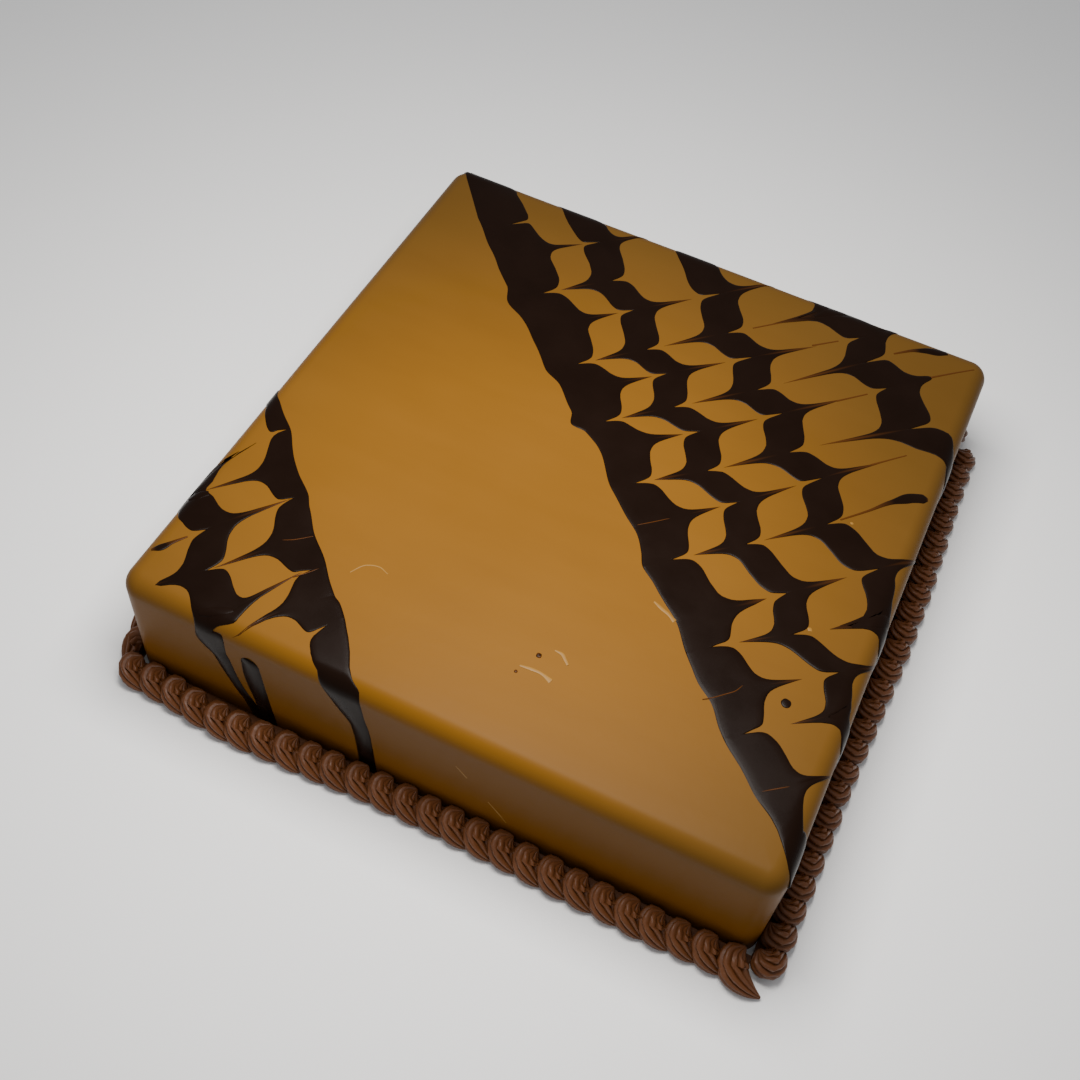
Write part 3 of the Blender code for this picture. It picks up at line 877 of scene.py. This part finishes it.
def model_bed(name, half):
    """Low bed of cream under a row of shells, modelled from a flat face along the wall."""
    plan = ((-half, 0.0), (-half, -BED_WIDTH), (half, -BED_WIDTH), (half, 0.0))
    mesh = bpy.data.meshes.new(name)
    mesh.from_pydata([(along * MM, out * MM, 0.0) for along, out in plan], [], [(0, 1, 2, 3)])
    bed = bpy.data.objects.new(name, mesh)
    bpy.context.scene.collection.objects.link(bed)
    take_up(bed)
    bpy.ops.object.mode_set(mode="EDIT")
    bpy.ops.mesh.select_all(action="SELECT")
    bpy.ops.mesh.extrude_region_move(
        TRANSFORM_OT_translate={"value": (0.0, 0.0, BED_HEIGHT * MM)})
    bpy.ops.mesh.select_all(action="SELECT")
    bpy.ops.mesh.normals_make_consistent(inside=False)
    bpy.ops.object.mode_set(mode="OBJECT")
    return bed


def join_up(name, pieces):
    """One piece from several that are pressed into one another."""
    deselect_all()
    for piece in pieces:
        piece.select_set(True)
    bpy.context.view_layer.objects.active = pieces[0]
    bpy.ops.object.join()
    joined = bpy.context.object
    joined.name = name
    joined.data.name = name
    return joined


def bow_out(along, middle, spread, height):
    """Smooth bump by which a row of shells stands further out from the wall."""
    share = min(abs(along - middle) / spread, 1.0)
    return height * math.cos(QUARTER * share) ** 2


def make_piping(name, side, row, pattern, material, random):
    """Row of piped shells along one side of the cake, joined into one piece.

    The row gives its two ends' gaps, its last shell's turn, tail and shift, and the
    places where the row bows out.
    """
    first, final, last_turn, last_tail, last_shift, bumps = row
    half, distance = (WALL_X, WALL_Y) if side in (FRONT, BACK) else (WALL_Y, WALL_X)
    pitch = (2 * half - first - final) / (SHELLS_PER_SIDE - 1)
    shells = []
    for number in range(SHELLS_PER_SIDE):
        along = -half + first + number * pitch
        turn, tail, shift, size = last_turn, last_tail, last_shift, 1.0
        if number < SHELLS_PER_SIDE - 1:
            along += random.uniform(-1, 1) * SPACING_JITTER
            size = 1 + random.uniform(-1, 1) * SIZE_JITTER
            turn = SHELL_TURN + random.uniform(-1, 1) * TURN_JITTER
            tail, shift = SHELL_TAIL, 0.0
        shift += sum(bow_out(along, *bump) for bump in bumps)
        shells.append(
            place_shell(pattern, name + "_" + str(number), along, shift, size, turn, tail))
    shells.append(model_bed(name + "_bed", half))
    strip = join_up(name, shells)
    angle = side * QUARTER
    strip.data.transform(
        Matrix.Translation((math.sin(angle) * distance * MM, -math.cos(angle) * distance * MM, 0.0))
        @ Matrix.Rotation(angle, 4, "Z"))
    strip.data.materials.clear()
    strip.data.materials.append(material)
    smooth_piece(strip, 60.0)
    return strip


def make_border(cream):
    """The four rows of shells, piped one after the other round the cake."""
    pattern = model_shell()
    rows = (
        ("piping_front", "border_front",
         (3.4, 4.0, 24.0, 14.0, 0.0,
          ((-84.0, 34.0, 2.4), (-55.0, 40.0, 1.6), (80.0, 60.0, 1.2)))),
        ("piping_right", "border_right",
         (0.5, 7.5, SHELL_TURN, SHELL_TAIL, 0.0, ((25.0, 95.0, 2.5),))),
        ("piping_back", "border_back",
         (3.4, 5.0, SHELL_TURN, SHELL_TAIL, 0.0, ((60.0, 60.0, 2.7),))),
        ("piping_left", "border_left", (3.4, 5.5, 8.0, SHELL_TAIL, -2.6, ((-20.0, 90.0, 2.5),))),
    )
    random = np.random.default_rng(BORDER_SEED)
    for side, (name, node, row) in enumerate(rows):
        strip = make_piping(name, side, row, pattern, cream, random)
        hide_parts(node)
        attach(strip, "root")
    bpy.data.objects.remove(pattern, do_unlink=True)


# ---------------------------------------------------------------- finishes

class Finish:
    """Material with its shader, and the few kinds of node that the finishes are made of."""

    def __init__(self, name, plain):
        """Plain values are the shader's values that are the same all over the piece."""
        self.material = bpy.data.materials.new(name)
        self.material.use_nodes = True
        self.tree = self.material.node_tree
        self.shader = self.tree.nodes["Principled BSDF"]
        for socket, value in plain.items():
            self.shader.inputs[socket].default_value = value

    def add(self, kind, settings, inputs):
        """New node with its settings, and with its inputs set or linked."""
        node = self.tree.nodes.new(kind)
        for key, value in settings.items():
            setattr(node, key, value)
        for key, value in inputs.items():
            if isinstance(value, bpy.types.NodeSocket):
                self.tree.links.new(value, node.inputs[key])
            else:
                node.inputs[key].default_value = value
        return node

    def feed(self, value, socket):
        """Link a value to one of the shader's sockets."""
        self.tree.links.new(value, self.shader.inputs[socket])

    def place(self):
        """Place on the piece."""
        return self.add("ShaderNodeTexCoord", {}, {}).outputs["Object"]

    def noise(self, place, scale, detail):
        """Cloudy pattern from 0 to 1."""
        return self.add("ShaderNodeTexNoise", {}, {
            "Vector": place, "Scale": scale, "Detail": detail}).outputs["Fac"]

    def mixed(self, share, first, second, way="MIX"):
        """Mix of two colours, or the first tinted by the second."""
        return self.add("ShaderNodeMix", {"data_type": "RGBA", "blend_type": way}, {
            "Factor": share, "A": first, "B": second}).outputs["Result"]

    def spread(self, value, source, target=(0.0, 1.0), way="SMOOTHSTEP"):
        """Value carried from one range to another."""
        return self.add("ShaderNodeMapRange", {"interpolation_type": way}, {
            "Value": value, "From Min": source[0], "From Max": source[1],
            "To Min": target[0], "To Max": target[1]}).outputs["Result"]

    def roughen(self, pattern, least, most):
        """Roughness that follows a pattern."""
        self.feed(self.spread(pattern, (0.3, 0.7), (least, most), "LINEAR"), "Roughness")

    def bump(self, height, strength, distance, over=None):
        """Fine relief from a pattern, over a coarser one if there is one."""
        inputs = {"Height": height, "Strength": strength, "Distance": distance}
        if over is not None:
            inputs["Normal"] = over
        return self.add("ShaderNodeBump", {}, inputs).outputs["Normal"]


def glaze_finish():
    """Satin coffee glaze: warm tan with faint clouds and streaks, with painted shade on the walls
    and on the top towards its far rim, and painted light at the foot of the walls.
    """
    finish = Finish("coffee_glaze_finish", {"Specular IOR Level": 0.045})
    place = finish.place()
    clouds = finish.noise(place, 14.0, 3.0)
    grain = finish.noise(place, 260.0, 4.0)
    drawn = finish.add("ShaderNodeMapping", {}, {
        "Vector": place, "Rotation": (0.0, 0.0, 0.6), "Scale": (8.0, 42.0, 20.0)}).outputs[0]
    streaks = finish.noise(drawn, 2.0, 2.0)
    height = finish.add("ShaderNodeSeparateXYZ", {}, {"Vector": place}).outputs["Z"]
    reach = finish.add("ShaderNodeVectorMath", {"operation": "DISTANCE"}, {
        0: place, 1: RIM_PAINTED_SHADE_CENTRE}).outputs["Value"]
    # Painted light: the bottom of the walls is lightened, fading out by 30 mm up, to lift the shade
    # that falls there behind the border
    foot = finish.spread(height, (0.006, 0.030), (0.42, 0.0))
    # Painted shade: the top of the glaze is darkened with distance from a point near its middle,
    # where the overhead light falls off towards the far rim
    rim = finish.add("ShaderNodeMath", {"operation": "MULTIPLY"}, {
        0: finish.spread(reach, (0.05, 0.19)),
        1: finish.spread(height, (0.045, 0.055))}).outputs["Value"]
    # Painted shade: everything below the rounded top edge is darkened, standing in for the walls
    # getting less of the overhead light
    wall = finish.spread(height, (0.048, 0.053), (1.0, 0.0))
    colour = finish.mixed(clouds, COFFEE, LIGHT_COFFEE)
    for share, tint in ((streaks, STREAK_TINT), (foot, FOOT_PAINTED_LIGHT_TINT), (rim, RIM_PAINTED_SHADE_TINT),
                        (wall, WALL_PAINTED_SHADE_TINT)):
        colour = finish.mixed(share, colour, tint, "MULTIPLY")
    finish.feed(colour, "Base Color")
    finish.roughen(clouds, 0.34, 0.42)
    waves = finish.bump(clouds, 0.25, 0.0012)
    finish.feed(finish.bump(grain, 0.12, 0.0003, waves), "Normal")
    return finish.material


def pale_smear_finish():
    """Paler, yellower glaze of the smears and chips."""
    finish = Finish("pale_smear_finish", {"Specular IOR Level": 0.2})
    clouds = finish.noise(finish.place(), 300.0, 3.0)
    finish.feed(finish.mixed(clouds, SMEAR, LIGHT_SMEAR), "Base Color")
    finish.roughen(clouds, 0.40, 0.50)
    return finish.material


def chocolate_finish():
    """Dark chocolate, browner where a drag has drawn it out thin."""
    finish = Finish("dark_chocolate_finish", {"Specular IOR Level": 0.05})
    clouds = finish.noise(finish.place(), 60.0, 4.0)
    thin = finish.add("ShaderNodeAttribute", {"attribute_name": "thin"}, {}).outputs["Fac"]
    thick = finish.mixed(clouds, CHOCOLATE, LIGHT_CHOCOLATE)
    finish.feed(finish.mixed(thin, thick, THIN_CHOCOLATE), "Base Color")
    finish.roughen(clouds, 0.24, 0.33)
    finish.feed(finish.bump(clouds, 0.2, 0.0003), "Normal")
    return finish.material


def cream_finish():
    """Piped chocolate cream: satin brown with a fine whipped grain."""
    finish = Finish("piped_cream_finish", {"Specular IOR Level": 0.25})
    place = finish.place()
    clouds = finish.noise(place, 90.0, 4.0)
    grain = finish.noise(place, 900.0, 3.0)
    finish.feed(finish.mixed(clouds, CREAM, LIGHT_CREAM), "Base Color")
    finish.roughen(grain, 0.38, 0.52)
    finish.feed(finish.bump(grain, 0.35, 0.0003), "Normal")
    return finish.material


# ---------------------------------------------------------------- studio

def make_camera():
    """Camera at the photograph's angle: turned, raised and tilted a little."""
    turn, rise, tilt = (math.radians(angle) for angle in CAMERA_ANGLES)
    back = Vector((math.sin(turn) * math.cos(rise), -math.cos(turn) * math.cos(rise),
                   math.sin(rise)))
    level = Vector((0.0, 0.0, 1.0)).cross(back).normalized()
    upright = back.cross(level)
    right = level * math.cos(tilt) + upright * math.sin(tilt)
    up = upright * math.cos(tilt) - level * math.sin(tilt)
    data = bpy.data.cameras.new("camera")
    data.sensor_width = SENSOR_WIDTH
    data.lens = FOCAL_PIXELS * SENSOR_WIDTH / IMAGE_PIXELS
    camera = bpy.data.objects.new("camera", data)
    bpy.context.scene.collection.objects.link(camera)
    place = Matrix((right, up, back)).transposed().to_4x4()
    place.translation = Vector(CAMERA_TARGET) + back * CAMERA_DISTANCE
    camera.matrix_world = place
    bpy.context.scene.camera = camera


def make_overhead_light():
    """Soft square light straight above the cake, aimed down."""
    data = bpy.data.lights.new("overhead", "AREA")
    data.size = LIGHT_SIZE
    data.energy = LIGHT_POWER
    data.color = LIGHT_COLOUR
    light = bpy.data.objects.new("overhead", data)
    bpy.context.scene.collection.objects.link(light)
    light.location = LIGHT_PLACE


def make_studio():
    """Pale floor and soft light from above."""
    deselect_all()
    bpy.ops.mesh.primitive_plane_add(size=FLOOR_SIZE, location=(0.0, 0.0, 0.0))
    floor = bpy.context.object
    floor.name = "pale_floor"
    finish = Finish("pale_floor_finish", {"Base Color": FLOOR_COLOUR, "Roughness": 0.8})
    floor.data.materials.append(finish.material)
    make_overhead_light()
    world = bpy.data.worlds.new("studio")
    world.use_nodes = True
    sky = world.node_tree.nodes["Background"].inputs
    sky["Color"].default_value = SKY_COLOUR
    sky["Strength"].default_value = SKY_STRENGTH
    bpy.context.scene.world = world


# ---------------------------------------------------------------- the cake

make_camera()
make_studio()
chocolate = chocolate_finish()

body = make_glazed_body()
body.data.materials.append(glaze_finish())
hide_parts("cake")
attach(body, "root")

for piece in make_stripes(chocolate) + make_strokes(chocolate):
    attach(piece, "root")

for piece in make_smears(pale_smear_finish(), chocolate):
    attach(piece, "root")

make_border(cream_finish())
